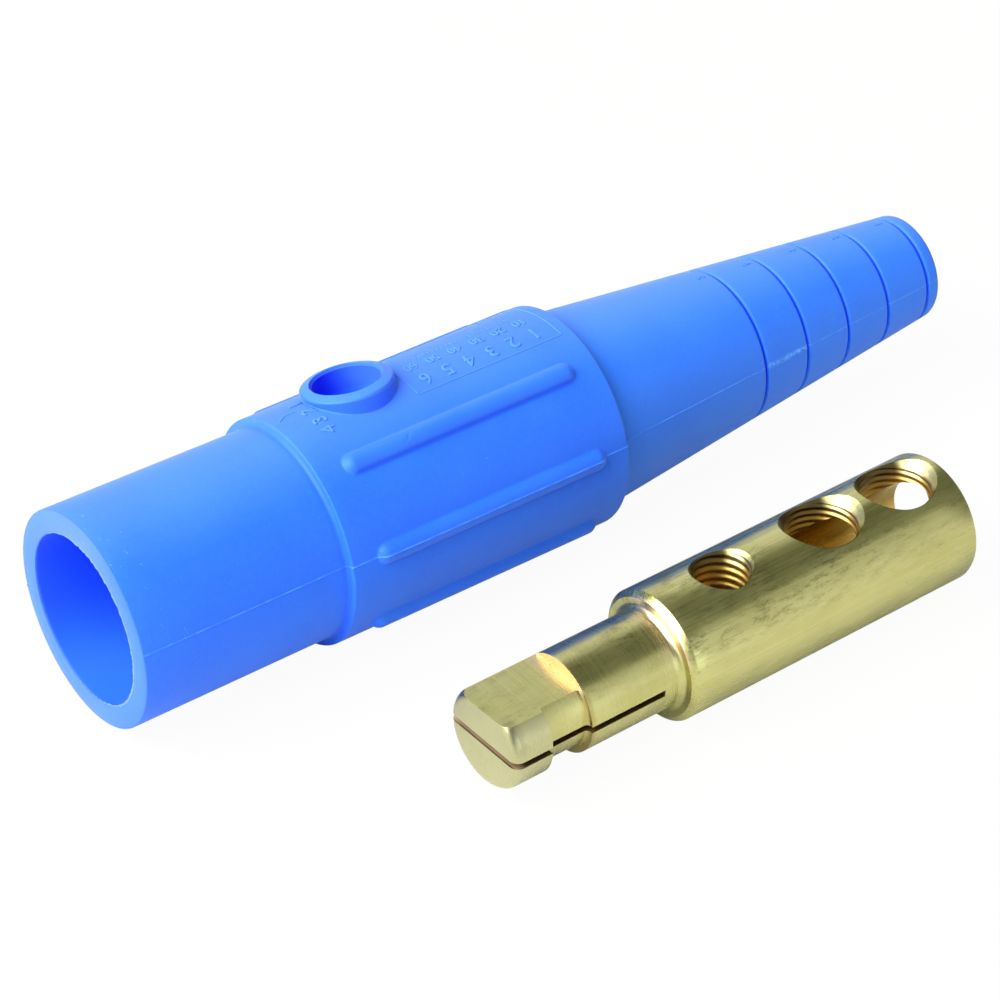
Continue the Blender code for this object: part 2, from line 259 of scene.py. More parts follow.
def angle_of(co):
    """Degrees round the sleeve from the collar, positive towards the contact."""
    return math.degrees(math.atan2(-co.y, co.z)) % 360


raised = 0
for v in sleeve_mesh.verts:
    radius = math.hypot(v.co.y, v.co.z)
    off = min((angle_of(v.co) - a for a in RIB_ANGLES), key=abs)
    in_zone = RIB_ZONE[0] < v.co.x < RIB_ZONE[1] and abs(off) <= RIB_REACH
    if not in_zone or radius <= BARREL_R - 0.1:
        continue
    low, high = BARREL_R - 0.2, BARREL_R + RIB_HEIGHT + 0.5
    turn = math.radians(off)
    for _ in range(HALVINGS):
        middle = (low + high) / 2
        if blend_distance(v.co.x, middle * math.sin(turn), middle * math.cos(turn)) < 0:
            low = middle
        else:
            high = middle
    along_nick = (angle_of(v.co) - NICK_START) / (NICK_END - NICK_START)
    if 0 < along_nick < 1:
        off_line = abs(v.co.x - NICK_X - (NICK_END_X - NICK_X) * along_nick ** 1.4)
        low -= NICK_DEPTH * max(0.0, 1 - off_line / NICK_HALF_WIDTH) * math.sin(math.pi * along_nick)
    v.co.y, v.co.z = v.co.y * low / radius, v.co.z * low / radius
    raised += 1
print("vertices raised for ribs:", raised)

# %% [markdown]
# ## The parting line
# Where the two halves of the mould met, a thin line of rubber stands out all along both sides and
# across the ring at the mouth. The spin has a row of vertices exactly there, a quarter turn from
# the collar, so pushing that row out along its normals makes the line.

# %% Lift the parting line
SEAM_HEIGHT, RING_SHARE = 0.15, 0.6
lifted = 0
sleeve_mesh.normal_update()
for v in sleeve_mesh.verts:
    on_seam = abs(angle_of(v.co) % 180 - 90) < 0.05
    on_ring = v.co.x < 0.01
    faces_out = on_ring or v.normal.dot((0, v.co.y, v.co.z)) > 0
    if on_seam and faces_out and math.hypot(v.co.y, v.co.z) > MOUTH_BORE_R - 0.05:
        wobble = 1 + 0.5 * noise.noise(Vector((v.co.x * 0.9, v.co.y, 3.1)))
        v.co += v.normal * SEAM_HEIGHT * wobble * (RING_SHARE if on_ring else 1.0)
        lifted += 1
sleeve = object_from(sleeve_mesh, "moulded_sleeve")
print("vertices lifted for the parting line:", lifted)

# %% [markdown]
# ## The screw collar
# A low ring stands on the barrel round the hole for the retaining screw. Its top slopes down
# outwards, and the whole ring is tilted and leans by a few degrees. The ring is turned upright, the
# bottom rows of its wall are bent to the barrel's curve so that a small fillet forms there, and it is
# joined on. A second turned shape drills the hole and leaves a narrow ledge in it.

# %% Collar and its hole
COLLAR_X, COLLAR_TOP, COLLAR_EDGE, COLLAR_R = 60.25, 24.15, 23.45, 8.7
COLLAR_OFFSET, COLLAR_TILT, COLLAR_LEAN = -0.15, math.radians(-3.0), math.radians(-1.5)
COLLAR_HOLE_R, COLLAR_LEDGE_R, COLLAR_LEDGE_DEPTH = 6.8, 6.45, 0.6

# Rows at the wall's foot, each (above the barrel, out of the wall). Until they are bent to the barrel
# they stand one above the other, FOOT_STEP apart.
FILLET_ROWS = ((-0.3, 0.1), (0.01, 0.07), (0.05, 0.03), (0.12, 0.01), (0.3, 0.0))
FOOT_Z, FOOT_STEP = 18.0, 0.1
collar_seat = (Matrix.Translation((COLLAR_X, 0, COLLAR_TOP)) @ Matrix.Rotation(COLLAR_TILT, 4, "Y")
               @ Matrix.Rotation(COLLAR_LEAN, 4, "X") @ Matrix.Translation((0, 0, -COLLAR_TOP)))
slope = (COLLAR_TOP - COLLAR_EDGE) / (COLLAR_R - COLLAR_HOLE_R)
ring_wall = [(FOOT_Z - 1.0, 0.0), (FOOT_Z - 1.0, COLLAR_R + 0.1)]
ring_wall += [(FOOT_Z + FOOT_STEP * i, COLLAR_R + out) for i, (_, out) in enumerate(FILLET_ROWS)]
ring_wall += [(COLLAR_EDGE - 0.5, COLLAR_R), (COLLAR_EDGE - 0.14, COLLAR_R - 0.02),
              (COLLAR_EDGE - 0.03, COLLAR_R - 0.08), (COLLAR_EDGE + 0.04, COLLAR_R - 0.18),
              (COLLAR_EDGE + slope * 0.45, COLLAR_R - 0.45), (COLLAR_TOP, COLLAR_HOLE_R), (COLLAR_TOP, 0.0)]
ring = bmesh.new()
lathe(ring, wire(ring, ring_wall, closed=False, axis="Z"), [(360, 128)], "Z")
foot = {v: round((v.co.z - FOOT_Z) / FOOT_STEP) for v in ring.verts
        if FOOT_Z - FOOT_STEP < v.co.z < FOOT_Z + FOOT_STEP * len(FILLET_ROWS)}
bmesh.ops.transform(ring, matrix=Matrix.Translation((COLLAR_OFFSET, 0, 0)) @ collar_seat, verts=ring.verts)
for v, row in foot.items():
    v.co.z = math.sqrt(BARREL_R ** 2 - v.co.y ** 2) + FILLET_ROWS[row][0]
cut_or_join(sleeve, object_from(ring, "collar_ring"), "UNION")

# %% Drill the collar
ledge, wide = COLLAR_TOP - COLLAR_LEDGE_DEPTH, COLLAR_HOLE_R + 0.5
drill_wall = [(8.0, 0.0), (8.0, COLLAR_LEDGE_R), (ledge - 0.08, COLLAR_LEDGE_R),
              (ledge, COLLAR_LEDGE_R + 0.06), (ledge, COLLAR_HOLE_R), (COLLAR_TOP - 0.35, COLLAR_HOLE_R),
              (COLLAR_TOP - 0.12, COLLAR_HOLE_R + 0.05), (COLLAR_TOP, COLLAR_HOLE_R + 0.16),
              (COLLAR_TOP + 0.3, wide), (30.0, wide), (30.0, 0.0)]
drill = turned("collar_drill", drill_wall, 112, axis="Z")
drill.data.transform(collar_seat)
cut_or_join(sleeve, drill, "DIFFERENCE")
put_in_place(sleeve, SLEEVE_PLACE)
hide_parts("insulating_sleeve")

# %% [markdown]
# ## Raised marks
# Mould makers engrave lines and figures in the steel, so they stand out of the rubber by a tenth of a
# millimetre or so. Each mark is modelled flat, as on paper, and then bent round the sleeve. This
# sleeve carries only plain figures, a plain scale, short lines and an arrow.

# %% Bend a flat relief round the sleeve
FOOT_DEPTH = 0.25


def wrap(bm, x, degrees, turn=0.0):
    """Flat X runs along the sleeve and flat Y away from the contact, before the turn in degrees."""
    bmesh.ops.rotate(bm, verts=bm.verts, cent=(0, 0, 0), matrix=Matrix.Rotation(math.radians(turn), 3, "Z"))
    for v in bm.verts:
        along = x + v.co.x
        radius = sleeve_radius(along)
        a = math.radians(degrees) - v.co.y / radius
        out = radius + v.co.z
        v.co = (along, -out * math.sin(a), out * math.cos(a))


def bar(bm, length, width, height, x=0.0, y=0.0, turn=0.0):
    """A straight raised line with sloping sides, its foot sunk below the surface."""
    made = bmesh.ops.create_grid(bm, x_segments=max(2, round(length / 0.8)), y_segments=1, size=0.5)["verts"]
    bmesh.ops.scale(bm, vec=(length, width, 1), verts=made)
    faces = {f for v in made for f in v.link_faces}
    up = bmesh.ops.extrude_face_region(bm, geom=list(faces))["geom"]
    top = [g for g in up if isinstance(g, bmesh.types.BMVert)]
    bmesh.ops.translate(bm, vec=(0, 0, height), verts=top)
    bmesh.ops.scale(bm, vec=(1 - 0.25 / length, 0.3, 1), verts=top)
    bmesh.ops.translate(bm, vec=(0, 0, -FOOT_DEPTH), verts=made)
    bmesh.ops.recalc_face_normals(bm, faces=list({f for v in made + top for f in v.link_faces}))
    spot = Matrix.Translation((x, y, 0)) @ Matrix.Rotation(math.radians(turn), 4, "Z")
    bmesh.ops.transform(bm, matrix=spot, verts=made + top)


def figure(text, size, height):
    """Plain figures as a flat mesh, centred, standing up by the given height."""
    curve = bpy.data.curves.new("figure", "FONT")
    curve.body, curve.size, curve.extrude = text, size, height / 2
    curve.offset, curve.bevel_depth, curve.bevel_resolution = -0.06, 0.1, 1
    curve.align_x, curve.align_y = "CENTER", "CENTER"
    curve.resolution_u = 3
    ob = bpy.data.objects.new("figure", curve)
    bpy.context.scene.collection.objects.link(ob)
    bm = bmesh.new()
    graph = bpy.context.evaluated_depsgraph_get()
    bm.from_mesh(bpy.data.meshes.new_from_object(ob.evaluated_get(graph)))
    bpy.data.objects.remove(ob, do_unlink=True)
    bmesh.ops.translate(bm, verts=bm.verts, vec=(0, 0, height / 2 - 0.1))
    bmesh.ops.remove_doubles(bm, verts=bm.verts, dist=1e-4)
    return bm


def join(whole, part):
    mesh = bpy.data.meshes.new("part")
    part.to_mesh(mesh)
    part.free()
    whole.from_mesh(mesh)
    bpy.data.meshes.remove(mesh)


marks = bmesh.new()


def stamp(text, size, height, x, degrees, turn):
    """Put one number on the sleeve."""
    number = figure(text, size, height)
    wrap(number, x, degrees, turn)
    join(marks, number)


# %% Frame with a plain scale, behind the collar
FRAME_X, FRAME_HALF_ANGLE = (69.3, 101.7), 24.4
LINE_WIDTH, LINE_HEIGHT = 0.5, 0.13
FIRST_NUMBER_X, NUMBER_STEP = 97.5, 4.9
SCALE_STEPS, SCALE_STEP = 20, 1.04
half_width = BARREL_R * math.radians(FRAME_HALF_ANGLE)
middle_x, length_x = sum(FRAME_X) / 2, FRAME_X[1] - FRAME_X[0]
frame_lines = bmesh.new()
for side in (-1, 1):
    bar(frame_lines, length_x, LINE_WIDTH, LINE_HEIGHT, y=side * half_width)
    bar(frame_lines, 2 * half_width, LINE_WIDTH, LINE_HEIGHT, x=side * length_x / 2, turn=90)
wrap(frame_lines, middle_x, 0)
join(marks, frame_lines)
for i in range(6):
    number_x = FIRST_NUMBER_X - NUMBER_STEP * i
    stamp(str(i + 1), 4.4, 0.2, number_x, 16.6, turn=180)
    stamp(str(10 * (i + 1)), 2.9, 0.17, number_x, 4.4, turn=180)
scale_lines = bmesh.new()
for i in range(SCALE_STEPS + 1):
    bar(scale_lines, 1.7 if i % 4 == 0 else 1.0, 0.38, 0.08, x=SCALE_STEP * (i - SCALE_STEPS / 2), turn=90)
wrap(scale_lines, middle_x + 0.6, -3.2)
join(marks, scale_lines)

# %% Arrow and four figures beside the collar
arrow = bmesh.new()
bar(arrow, 2.7, LINE_WIDTH, LINE_HEIGHT, x=0.2)
bar(arrow, 2.2, LINE_WIDTH, LINE_HEIGHT, x=-1.9, y=-0.75, turn=35)
wrap(arrow, 47.0, 1.4)
join(marks, arrow)
for i, degrees in enumerate((-5.0, 6.0, 15.2, 23.0)):
    stamp(str(i + 1), 3.9, 0.22, 50.3, degrees, turn=90)

# %% One figure and a short line before each groove of the tail
MARK_TO_GROOVE = 3.0
for i, g in enumerate(GROOVES):
    stamp(str(len(GROOVES) - i), 2.9, 0.16, g - MARK_TO_GROOVE, 5.5, turn=-90)
    dash = bmesh.new()
    bar(dash, 1.3, 0.3, 0.1, turn=90)
    wrap(dash, g - MARK_TO_GROOVE, -4.0)
    join(marks, dash)
marks = put_in_place(object_from(marks, "raised_marks"), SLEEVE_PLACE)

# %% [markdown]
# ## Flash
# Rubber creeps into the gap between mould and core and leaves thin ragged skin. At the mouth it hangs
# from the inner rim, and on the parting line there is a torn bit between the first two grooves. Both
# start as neat shapes, and noise then tears their free edge.

# %% Ragged skin in the mouth
HEAVY_SIDE = math.radians(85)
neat = [(0.16, MOUTH_BORE_R + 0.1), (0.1, MOUTH_BORE_R - 0.45), (0.16, MOUTH_BORE_R - 0.5),
        (0.22, MOUTH_BORE_R - 0.45), (0.42, MOUTH_BORE_R + 0.1)]
skin = bmesh.new()
lathe(skin, wire(skin, neat, closed=True), [(360, 540)])
for v in skin.verts:
    radius = math.hypot(v.co.y, v.co.z)
    if radius < MOUTH_BORE_R:
        a = math.radians(angle_of(v.co))
        p = Vector((math.cos(a), math.sin(a), 0.0))
        torn = 0.2 + 0.32 * noise.noise(p * 2.3) + 0.28 * noise.noise(p * 22) + 0.2 * abs(noise.noise(p * 60))
        side = 0.62 + 0.38 * math.cos(a - HEAVY_SIDE)
        new = MOUTH_BORE_R - max(-0.06, min(0.75, -0.1 + torn * side + 0.32 * max(0.0, side - 0.24)))
        v.co.y, v.co.z = v.co.y * new / radius, v.co.z * new / radius
        v.co.x += 0.1 * noise.noise(p * 15)
skin = put_in_place(object_from(skin, "mouth_flash"), SLEEVE_PLACE, 60)

# %% Torn flash on the parting line
BURR_X, BURR_LENGTH, BURR_WIDTH = 148.5, 10.6, 1.3
burr = bmesh.new()
bmesh.ops.create_grid(burr, x_segments=110, y_segments=8, size=0.5)
bmesh.ops.scale(burr, vec=(BURR_LENGTH, BURR_WIDTH, 1), verts=burr.verts)
lower = bmesh.ops.extrude_face_region(burr, geom=burr.faces[:])["geom"]
bmesh.ops.translate(burr, vec=(0, 0, -0.3), verts=[g for g in lower if isinstance(g, bmesh.types.BMVert)])
for v in burr.verts:
    if v.co.z > -0.1:
        p = Vector((v.co.x * 0.9, v.co.y * 1.3, 7.0))
        sway = 0.3 * noise.noise(Vector((v.co.x * 0.7, 0, 2)))
        ridge = max(0.0, 1 - abs(v.co.y + sway) / 0.42)
        ends = min(1.0, (BURR_LENGTH / 2 - abs(v.co.x)) / 0.8)
        v.co.z = -0.06 + ends * (0.45 * ridge * max(0.0, 0.7 + 1.5 * noise.noise(p * 1.7))
                                 + 0.16 * max(0.0, noise.noise(p * 3.1)))
bmesh.ops.recalc_face_normals(burr, faces=burr.faces)
wrap(burr, BURR_X, 90.0)
burr = put_in_place(object_from(burr, "seam_flash"), SLEEVE_PLACE, 60)

# %% [markdown]
# ## The contact, as the lathe leaves it
# The brass contact starts as a bar. One end is bored for the cable, the other is turned down to a
# shank with a nose. The flat, the off-centre groove behind the nose and the long saw cut come next,
# each with its own cutting tool, in the order of a workshop.

# %% Turn the blank and cut the nose
BODY_R, BODY_END, SHANK_R, SHOULDER, NOSE, NOSE_ROUNDING = 12.7, 67.4, 9.4, -0.45, -37.65, 1.8
SHANK_FRONT, HEAD_REAR, NECK_R, FLAT_HEIGHT = -20.95, -29.6, 8.65, 6.75
blank = [(NOSE, 0.0), (NOSE, 4.0)]
blank += arc(NOSE + NOSE_ROUNDING, SHANK_R - NOSE_ROUNDING, NOSE_ROUNDING, 180, 90, 10)
blank += [(x, SHANK_R) for x in (-33.0, -30.5, -28.0, -24.0, -20.0, -14.0, -8.0, -4.0)]
blank += [(SHOULDER - 1.5, SHANK_R), (SHOULDER - 1.1, SHANK_R + 0.05), (SHOULDER - 0.7, SHANK_R + 0.19),
          (SHOULDER - 0.3, SHANK_R + 0.5), (SHOULDER - 0.06, SHANK_R + 0.8), (SHOULDER, SHANK_R + 1.05)]
blank += [(SHOULDER, BODY_R - 1.15), (SHOULDER + 0.05, BODY_R - 1.08), (SHOULDER + 1.03, BODY_R - 0.05),
          (SHOULDER + 1.15, BODY_R)]
blank += [(x, BODY_R) for x in (5, 12, 20, 28, 36, 44, 52, 60)]
blank += [(BODY_END - 0.4, BODY_R), (BODY_END - 0.12, BODY_R - 0.12), (BODY_END, BODY_R - 0.4), (BODY_END, 0.0)]
contact = turned("turned_contact", blank, 288)
BORE_R, BORE_START, BORE_LEAD = 8.3, 30.5, 1.1
bore_wall = [(BORE_START - 4.0, 0.0), (BORE_START, BORE_R), (BODY_END - BORE_LEAD, BORE_R),
             (BODY_END + 2.0, BORE_R + BORE_LEAD + 2.0), (BODY_END + 2.0, 0.0)]
cut_or_join(contact, turned("cable_bore", bore_wall, 192), "DIFFERENCE")


# %% Flat, neck groove and saw cut
def block(name, low, high):
    """A box between two corners."""
    bm = bmesh.new()
    bmesh.ops.create_cube(bm, size=1.0)
    bmesh.ops.scale(bm, vec=[h - l for l, h in zip(low, high)], verts=bm.verts)
    bmesh.ops.translate(bm, vec=[(h + l) / 2 for l, h in zip(low, high)], verts=bm.verts)
    return object_from(bm, name)


NECK_OFF_AXIS = Matrix.Translation((0, 0.55, 0.6))
SAW_END, SAW_HALF, REACH = -4.6, 0.64, 14.0
flat_cutter = block("flat_cutter", (NOSE - 3, -REACH, FLAT_HEIGHT), (SHANK_FRONT, REACH, REACH))
cut_or_join(contact, flat_cutter, "DIFFERENCE")
groove_wall = [(HEAD_REAR, NECK_R + 0.45), (HEAD_REAR + 0.12, NECK_R + 0.12), (HEAD_REAR + 0.45, NECK_R),
               (SHANK_FRONT - 0.9, NECK_R), (SHANK_FRONT - 0.5, NECK_R + 0.07),
               (SHANK_FRONT - 0.2, NECK_R + 0.28), (SHANK_FRONT, NECK_R + 0.75), (SHANK_FRONT, REACH),
               (HEAD_REAR, REACH)]
groove = turned("neck_groove", groove_wall, 216, closed=True)
groove.data.transform(NECK_OFF_AXIS)
cut_or_join(contact, groove, "DIFFERENCE")
saw_cut = block("saw_cut", (NOSE - 3, -REACH, -SAW_HALF), (SAW_END, REACH, SAW_HALF))
cut_or_join(contact, saw_cut, "DIFFERENCE")

# %% [markdown]
# ## Soft edges and threaded holes
# A machined edge is never quite sharp, and its tiny rounding catches the light, so the corners get a
# bevel of a tenth of a millimetre. Where a bevel has no room it leaves points on top of each other, and
# merging them keeps the mesh closed. The holes are drilled after that with threaded tools: each is a
# turned drill whose wall is pushed in and out along a helix, so that cutting with it leaves a thread.

# %% Break the edges
edge_break = contact.modifiers.new("edge_break", "BEVEL")
edge_break.limit_method, edge_break.angle_limit = "ANGLE", math.radians(42)
edge_break.width, edge_break.segments = 0.13, 2
baked(contact)
merged = bmesh.new()
merged.from_mesh(contact.data)
bmesh.ops.remove_doubles(merged, verts=merged.verts, dist=1e-3)
bmesh.ops.dissolve_degenerate(merged, edges=merged.edges, dist=1e-4)
merged.to_mesh(contact.data)
merged.free()


# %% Threaded drills
ROW_HEIGHT = 0.09


def threaded_drill(name, x, wall_r, rim_r, slope, minor_r, pitch, floor, lift):
    """A drill with a threaded wall below and a cone above, where the hole widens to its rim."""
    cone_start = BODY_R - (rim_r - wall_r) / slope
    top = BODY_R + 3.0
    rows = [(z, 1.0) for z in spread(floor, top, round((top - floor) / ROW_HEIGHT))]
    line = [(floor - wall_r * 0.5, 0.0)] + rows + [(top, 0.0)]
    bm = bmesh.new()
    lathe(bm, wire(bm, line, closed=False, axis="Z"), [(360, 144)], "Z")
    for v in bm.verts:
        if math.hypot(v.co.x, v.co.y) < 0.5:
            continue
        a = math.atan2(v.co.y, v.co.x)
        t = ((v.co.z - lift) / pitch - a / (2 * math.pi)) % 1.0
        wave = 0.5 + 0.5 * math.cos(2 * math.pi * t)
        fade = max(0.0, 1 - max(0.0, v.co.z - cone_start) / (BODY_R - cone_start))
        crest = (wall_r - minor_r) * 0.2 * fade * (1 - wave)
        cone_r = wall_r + (v.co.z - cone_start) * slope - crest
        radius = max(minor_r + (wall_r - minor_r) * wave, cone_r)
        v.co.x, v.co.y = radius * math.cos(a), radius * math.sin(a)
    bmesh.ops.translate(bm, vec=(x, 0, 0), verts=bm.verts)
    return object_from(bm, name)


# Each: name, place along, radius of the wall and of the rim, slope of the cone, radius inside the
# thread, pitch, floor, and how far the thread is lifted.
HOLES = (("rear_drill", 57.8, 6.85, 8.2, 0.66, 6.5, 1.41, 0.0, 0.1),
         ("middle_drill", 39.5, 6.95, 8.45, 0.707, 6.6, 1.41, 0.0, 0.45),
         ("small_drill", 15.7, 5.55, 6.15, 0.7, 5.15, 1.7, -1.0, -0.1))
for hole in HOLES:
    cut_or_join(contact, threaded_drill(*hole), "DIFFERENCE")
put_in_place(contact, CONTACT_PLACE)
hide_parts("male_contact")

# %% [markdown]
# ## Node helpers
# Materials are node trees. These helpers add a node with its values and join sockets, so that each
# finish below reads as a short recipe: masks are made from places on the piece, in millimetres, and
# paint lays one colour over another where a mask is above zero.

# %% Helpers for node trees
def add(tree, kind, inputs=(), **settings):
    node = tree.nodes.new(kind)
    for key, value in settings.items():
        setattr(node, key, value)
    for key, value in dict(inputs).items():
        if isinstance(value, bpy.types.NodeSocket):
            tree.links.new(value, node.inputs[key])
        else:
            node.inputs[key].default_value = value
    return node


def maths(tree, operation, a, b=0.0, clamp=False):
    return add(tree, "ShaderNodeMath", {0: a, 1: b}, operation=operation, use_clamp=clamp).outputs[0]


def fold(tree, operation, values):
    """Join any number of values, two at a time."""
    result, *others = values
    for value in others:
        result = maths(tree, operation, result, value)
    return result


def times(tree, *values):
    return fold(tree, "MULTIPLY", values)


def plus(tree, *values):
    return fold(tree, "ADD", values)


def highest(tree, *values):
    return fold(tree, "MAXIMUM", values)


def minus(tree, a, b):
    return maths(tree, "SUBTRACT", a, b)


def away(tree, value, centre=0.0):
    """How far a value is from a centre, on either side."""
    return maths(tree, "ABSOLUTE", minus(tree, value, centre))


def distance(tree, a, b):
    return maths(tree, "SQRT", plus(tree, maths(tree, "POWER", a, 2.0), maths(tree, "POWER", b, 2.0)))


# %% Helpers for masks and colours
def ramp(tree, value, low, high, to_low=0.0, to_high=1.0):
    """Map a value smoothly from low..high to to_low..to_high."""
    limits = {"From Min": low, "From Max": high, "To Min": to_low, "To Max": to_high}
    node = add(tree, "ShaderNodeMapRange", {"Value": value, **limits}, interpolation_type="SMOOTHSTEP")
    return node.outputs["Result"]


def band(tree, value, start, full, fade, end):
    """One from full to fade, and zero before start and after end."""
    return times(tree, ramp(tree, value, start, full), ramp(tree, value, end, fade))


def paint(tree, base, mask, colour, amount=1.0):
    """Lay a colour over the base where the mask is above zero."""
    if amount < 1:
        mask = times(tree, mask, amount)
    return add(tree, "ShaderNodeMix", {0: mask, 6: base, 7: colour}, data_type="RGBA").outputs[2]


def grain(tree, vector, scale, detail=2.0, roughness=0.5):
    return add(tree, "ShaderNodeTexNoise", {"Vector": vector, "Scale": scale, "Detail": detail,
                                            "Roughness": roughness}).outputs["Fac"]


def in_millimetres(tree, vector, corner=Vector((0, 0, 0))):
    """Split a place into x, y and z, in millimetres from a corner that is given in metres."""
    moved = add(tree, "ShaderNodeMapping", {"Vector": vector, "Location": -corner / MM, "Scale": (1 / MM,) * 3})
    return add(tree, "ShaderNodeSeparateXYZ", {0: moved.outputs[0]}).outputs


# %% Helpers for a whole material
def new_material(name, **constants):
    material = bpy.data.materials.new(name)
    material.use_nodes = True
    tree = material.node_tree
    shader = tree.nodes["Principled BSDF"]
    for key, value in constants.items():
        shader.inputs[key.replace("_", " ")].default_value = value
    position = add(tree, "ShaderNodeTexCoord").outputs["Object"]
    return material, tree, shader, position


def join_results(tree, shader, colour, roughness, height, strength, depth):
    """Join the colour, roughness and height of a recipe to its shader."""
    bump = add(tree, "ShaderNodeBump", {"Height": height, "Strength": strength, "Distance": depth})
    for name, socket in (("Base Color", colour), ("Roughness", roughness), ("Normal", bump.outputs["Normal"])):
        tree.links.new(socket, shader.inputs[name])
    print("material recipe: %d nodes" % len(tree.nodes))


# %% [markdown]
# ## Specks and hairlines, shared by both finishes
# Handling leaves specks and fine curved scratches on rubber and brass alike, so they are one node
# group. Specks are the peaks of a fine noise. Hairlines are the places where a broad noise passes
# through its middle value, which draws thin curls, and a second noise keeps only a few of them.

# %% Group for specks and hairlines
wear = bpy.data.node_groups.new("specks_and_hairlines", "ShaderNodeTree")
wear.interface.new_socket("Vector", in_out="INPUT", socket_type="NodeSocketVector")
for label, value in (("Speck Scale", 900.0), ("Speck Level", 0.74), ("Hair Scale", 260.0),
                     ("Hair Width", 0.012), ("Hair Level", 0.62)):
    socket = wear.interface.new_socket(label, in_out="INPUT", socket_type="NodeSocketFloat")
    socket.default_value = value
for label in ("Specks", "Hairlines"):
    wear.interface.new_socket(label, in_out="OUTPUT", socket_type="NodeSocketFloat")
put_in = wear.nodes.new("NodeGroupInput").outputs
out = wear.nodes.new("NodeGroupOutput")


def above_level(value, level, width):
    """A straight ramp that starts at a level and is full a little above it."""
    return add(wear, "ShaderNodeMapRange", {"Value": value, "From Min": level,
                                            "From Max": plus(wear, level, width)}).outputs["Result"]


fine_noise = grain(wear, put_in["Vector"], put_in["Speck Scale"], 1.0)
wear.links.new(above_level(fine_noise, put_in["Speck Level"], 0.05), out.inputs["Specks"])
curl = grain(wear, put_in["Vector"], put_in["Hair Scale"], 1.0)
off_middle = maths(wear, "DIVIDE", away(wear, curl, 0.5), put_in["Hair Width"])
line = maths(wear, "SUBTRACT", 1.0, off_middle, clamp=True)
patch = grain(wear, put_in["Vector"], times(wear, put_in["Hair Scale"], 1.3), 2.0)
wear.links.new(times(wear, line, above_level(patch, put_in["Hair Level"], 0.06)), out.inputs["Hairlines"])


def worn(tree, vector, **values):
    node = add(tree, "ShaderNodeGroup", {"Vector": vector}, node_tree=wear)
    for key, value in values.items():
        node.inputs[key.replace("_", " ")].default_value = value
    return node.outputs["Specks"], node.outputs["Hairlines"]


# %% [markdown]
# ## Blue rubber
# The rubber is a clear strong blue with a satin skin. Under its plain colour lie faint clouds, where
# the skin is a little more or less dusty, a very fine grain from the mould, and a few specks and
# curled hairlines, most of them near the mouth where it has been handled.

# %% Rubber: plain colour and wear
RUBBER, RUBBER_CLOUD, MOTTLE = (0.020, 0.146, 0.96, 1), (0.025, 0.164, 0.985, 1), (0.05, 0.26, 0.98, 1)
HAIRLINE, SPECK = (0.22, 0.46, 1.0, 1), (0.3, 0.52, 1.0, 1)
rubber, tree, shader, position = new_material(
    "sleeve_rubber", Roughness=0.5, Specular_IOR_Level=0.24, Sheen_Weight=0.15, Sheen_Roughness=0.4,
    Sheen_Tint=(0.7, 0.87, 1.0, 1))
x, y, z = in_millimetres(tree, position, SLEEVE_CORNER)
from_axis = distance(tree, y, z)
clouds = grain(tree, position, 55.0, 3.0)
base = paint(tree, RUBBER, ramp(tree, clouds, 0.3, 0.7), RUBBER_CLOUD)
base = paint(tree, base, ramp(tree, grain(tree, position, 1100.0), 0.3, 0.7), MOTTLE, 0.10)
specks, hairs = worn(tree, position, Speck_Scale=1500.0, Speck_Level=0.79, Hair_Scale=480.0,
                     Hair_Width=0.010, Hair_Level=0.6)
outer_skin = highest(tree, ramp(tree, from_axis, MOUTH_BORE_R + 0.05, MOUTH_BORE_R + 0.2),
                     ramp(tree, x, MOUTH_DEPTH - 0.2, MOUTH_DEPTH + 1.8))
near_mouth = ramp(tree, x, 19.7, 1.7, 0.08, 0.6)
base = paint(tree, base, times(tree, hairs, near_mouth, outer_skin), HAIRLINE)
base = paint(tree, base, times(tree, specks, outer_skin), SPECK, 0.3)

# %% Rubber: a painted highlight on top, a paler tail, and painted shade inside the mouth
LIT_TOP, TAIL_TONE, MOUTH_SHADE_BLUE = (0.55, 0.9, 1.0, 1), (0.14, 0.52, 1.0, 1), (0.0, 0.001, 0.92, 1)
# Painted highlight: the upward-facing skin is painted paler, as if lit from above.
TOP_Y, TOP_Z = 0.259, 0.966
towards_top = plus(tree, times(tree, z, TOP_Z), times(tree, y, TOP_Y))
on_top = ramp(tree, maths(tree, "DIVIDE", towards_top, from_axis), 0.55, 1.0)
base = paint(tree, base, on_top, LIT_TOP, 0.055)
base = paint(tree, base, ramp(tree, x, 98.0, 112.0), TAIL_TONE, 0.1)
# Painted shade: the bore inside the mouth and pocket is painted dark blue, less so towards the bottom.
mouth_shade = times(tree, ramp(tree, from_axis, MOUTH_BORE_R + 0.6, MOUTH_BORE_R + 0.2),
             band(tree, x, 0.0, 0.8, 112.0, 118.0), ramp(tree, z, -19.5, -5.5, 0.60, 0.992))
base = paint(tree, base, mouth_shade, MOUTH_SHADE_BLUE)

# %% Rubber: the parting line, in the rolled sleeve's own y and z
SEAM_TONE, SEAM_WIDTH, TORN_WIDTH = (0.15, 0.44, 1.0, 1), 0.12, 0.5
cos_roll, sin_roll = math.cos(SLEEVE_ROLL), math.sin(SLEEVE_ROLL)
own_y = plus(tree, times(tree, y, cos_roll), times(tree, z, sin_roll))
own_z = minus(tree, times(tree, z, cos_roll), times(tree, y, sin_roll))
torn_zone = band(tree, x, 143.0, 143.6, 153.8, 154.5)
seam_width = plus(tree, SEAM_WIDTH, times(tree, torn_zone, TORN_WIDTH))
seam = times(tree, ramp(tree, maths(tree, "DIVIDE", away(tree, own_z), seam_width), 1.3, 0.7), outer_skin,
             ramp(tree, grain(tree, position, 700.0, 3.0), 0.42, 0.6, 0.12, 0.4))
base = paint(tree, base, times(tree, seam, plus(tree, 1.0, times(tree, torn_zone, 0.5))), SEAM_TONE)
